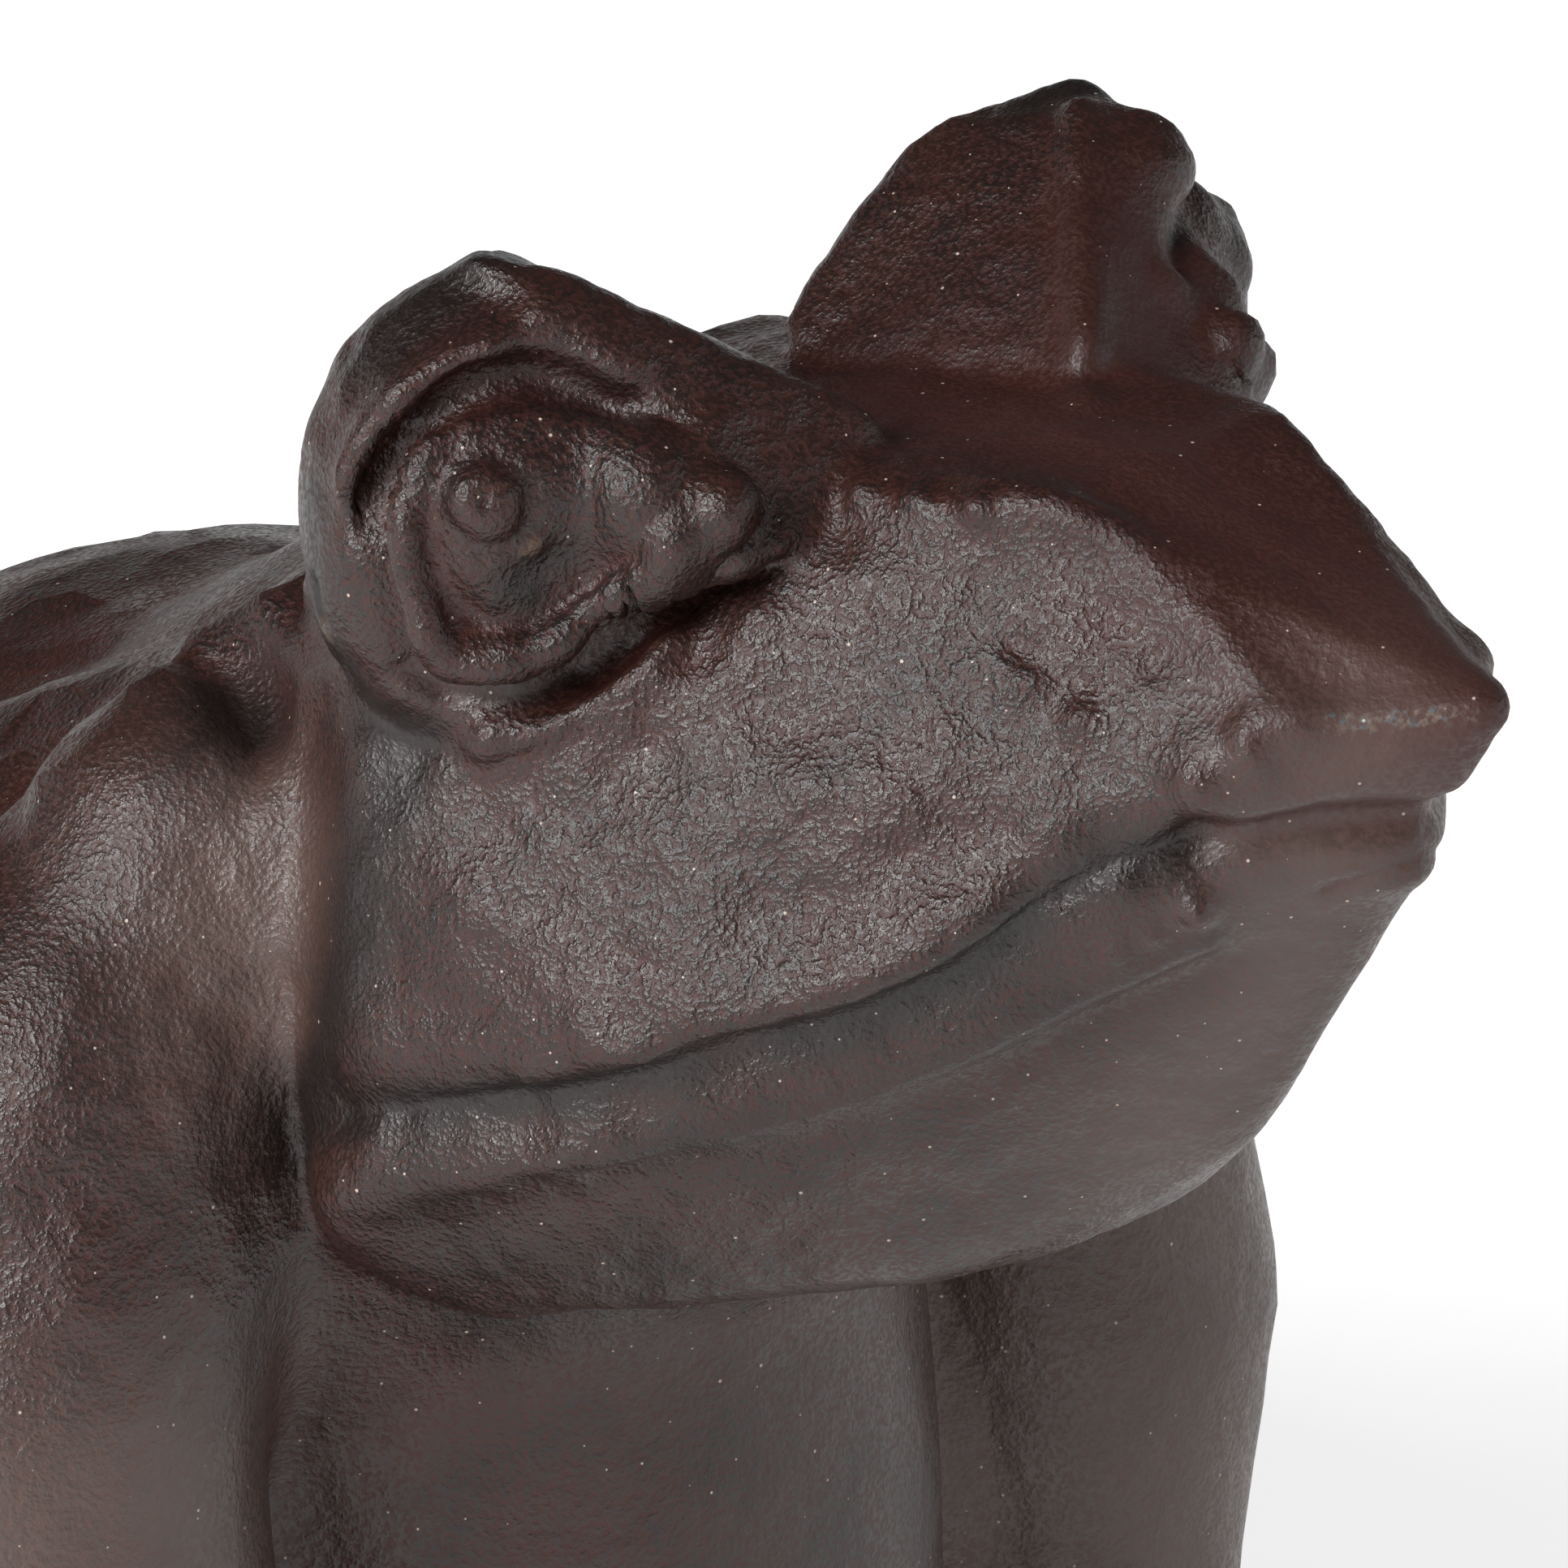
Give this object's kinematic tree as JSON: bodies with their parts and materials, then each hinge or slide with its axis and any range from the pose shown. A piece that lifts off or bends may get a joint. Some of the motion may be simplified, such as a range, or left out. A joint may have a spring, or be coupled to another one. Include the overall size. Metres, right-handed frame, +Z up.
{
  "type": "frog garden figurine",
  "caption": "Sitting frog figurine for the garden, a single painted iron casting, hollow and open below.",
  "frame": {"origin": "middle of the bounding box at the ground the figurine stands on", "axes": "+Z up, the frog looks along -Y, +X to the frog's left"},
  "size_m": [0.114, 0.1432, 0.1035],
  "materials": {
    "casting": "dark brown paint, half gloss over the sand-cast grain"
  },
  "bodies": {
    "root": {"frog": "casting"}
  },
  "joints": []
}
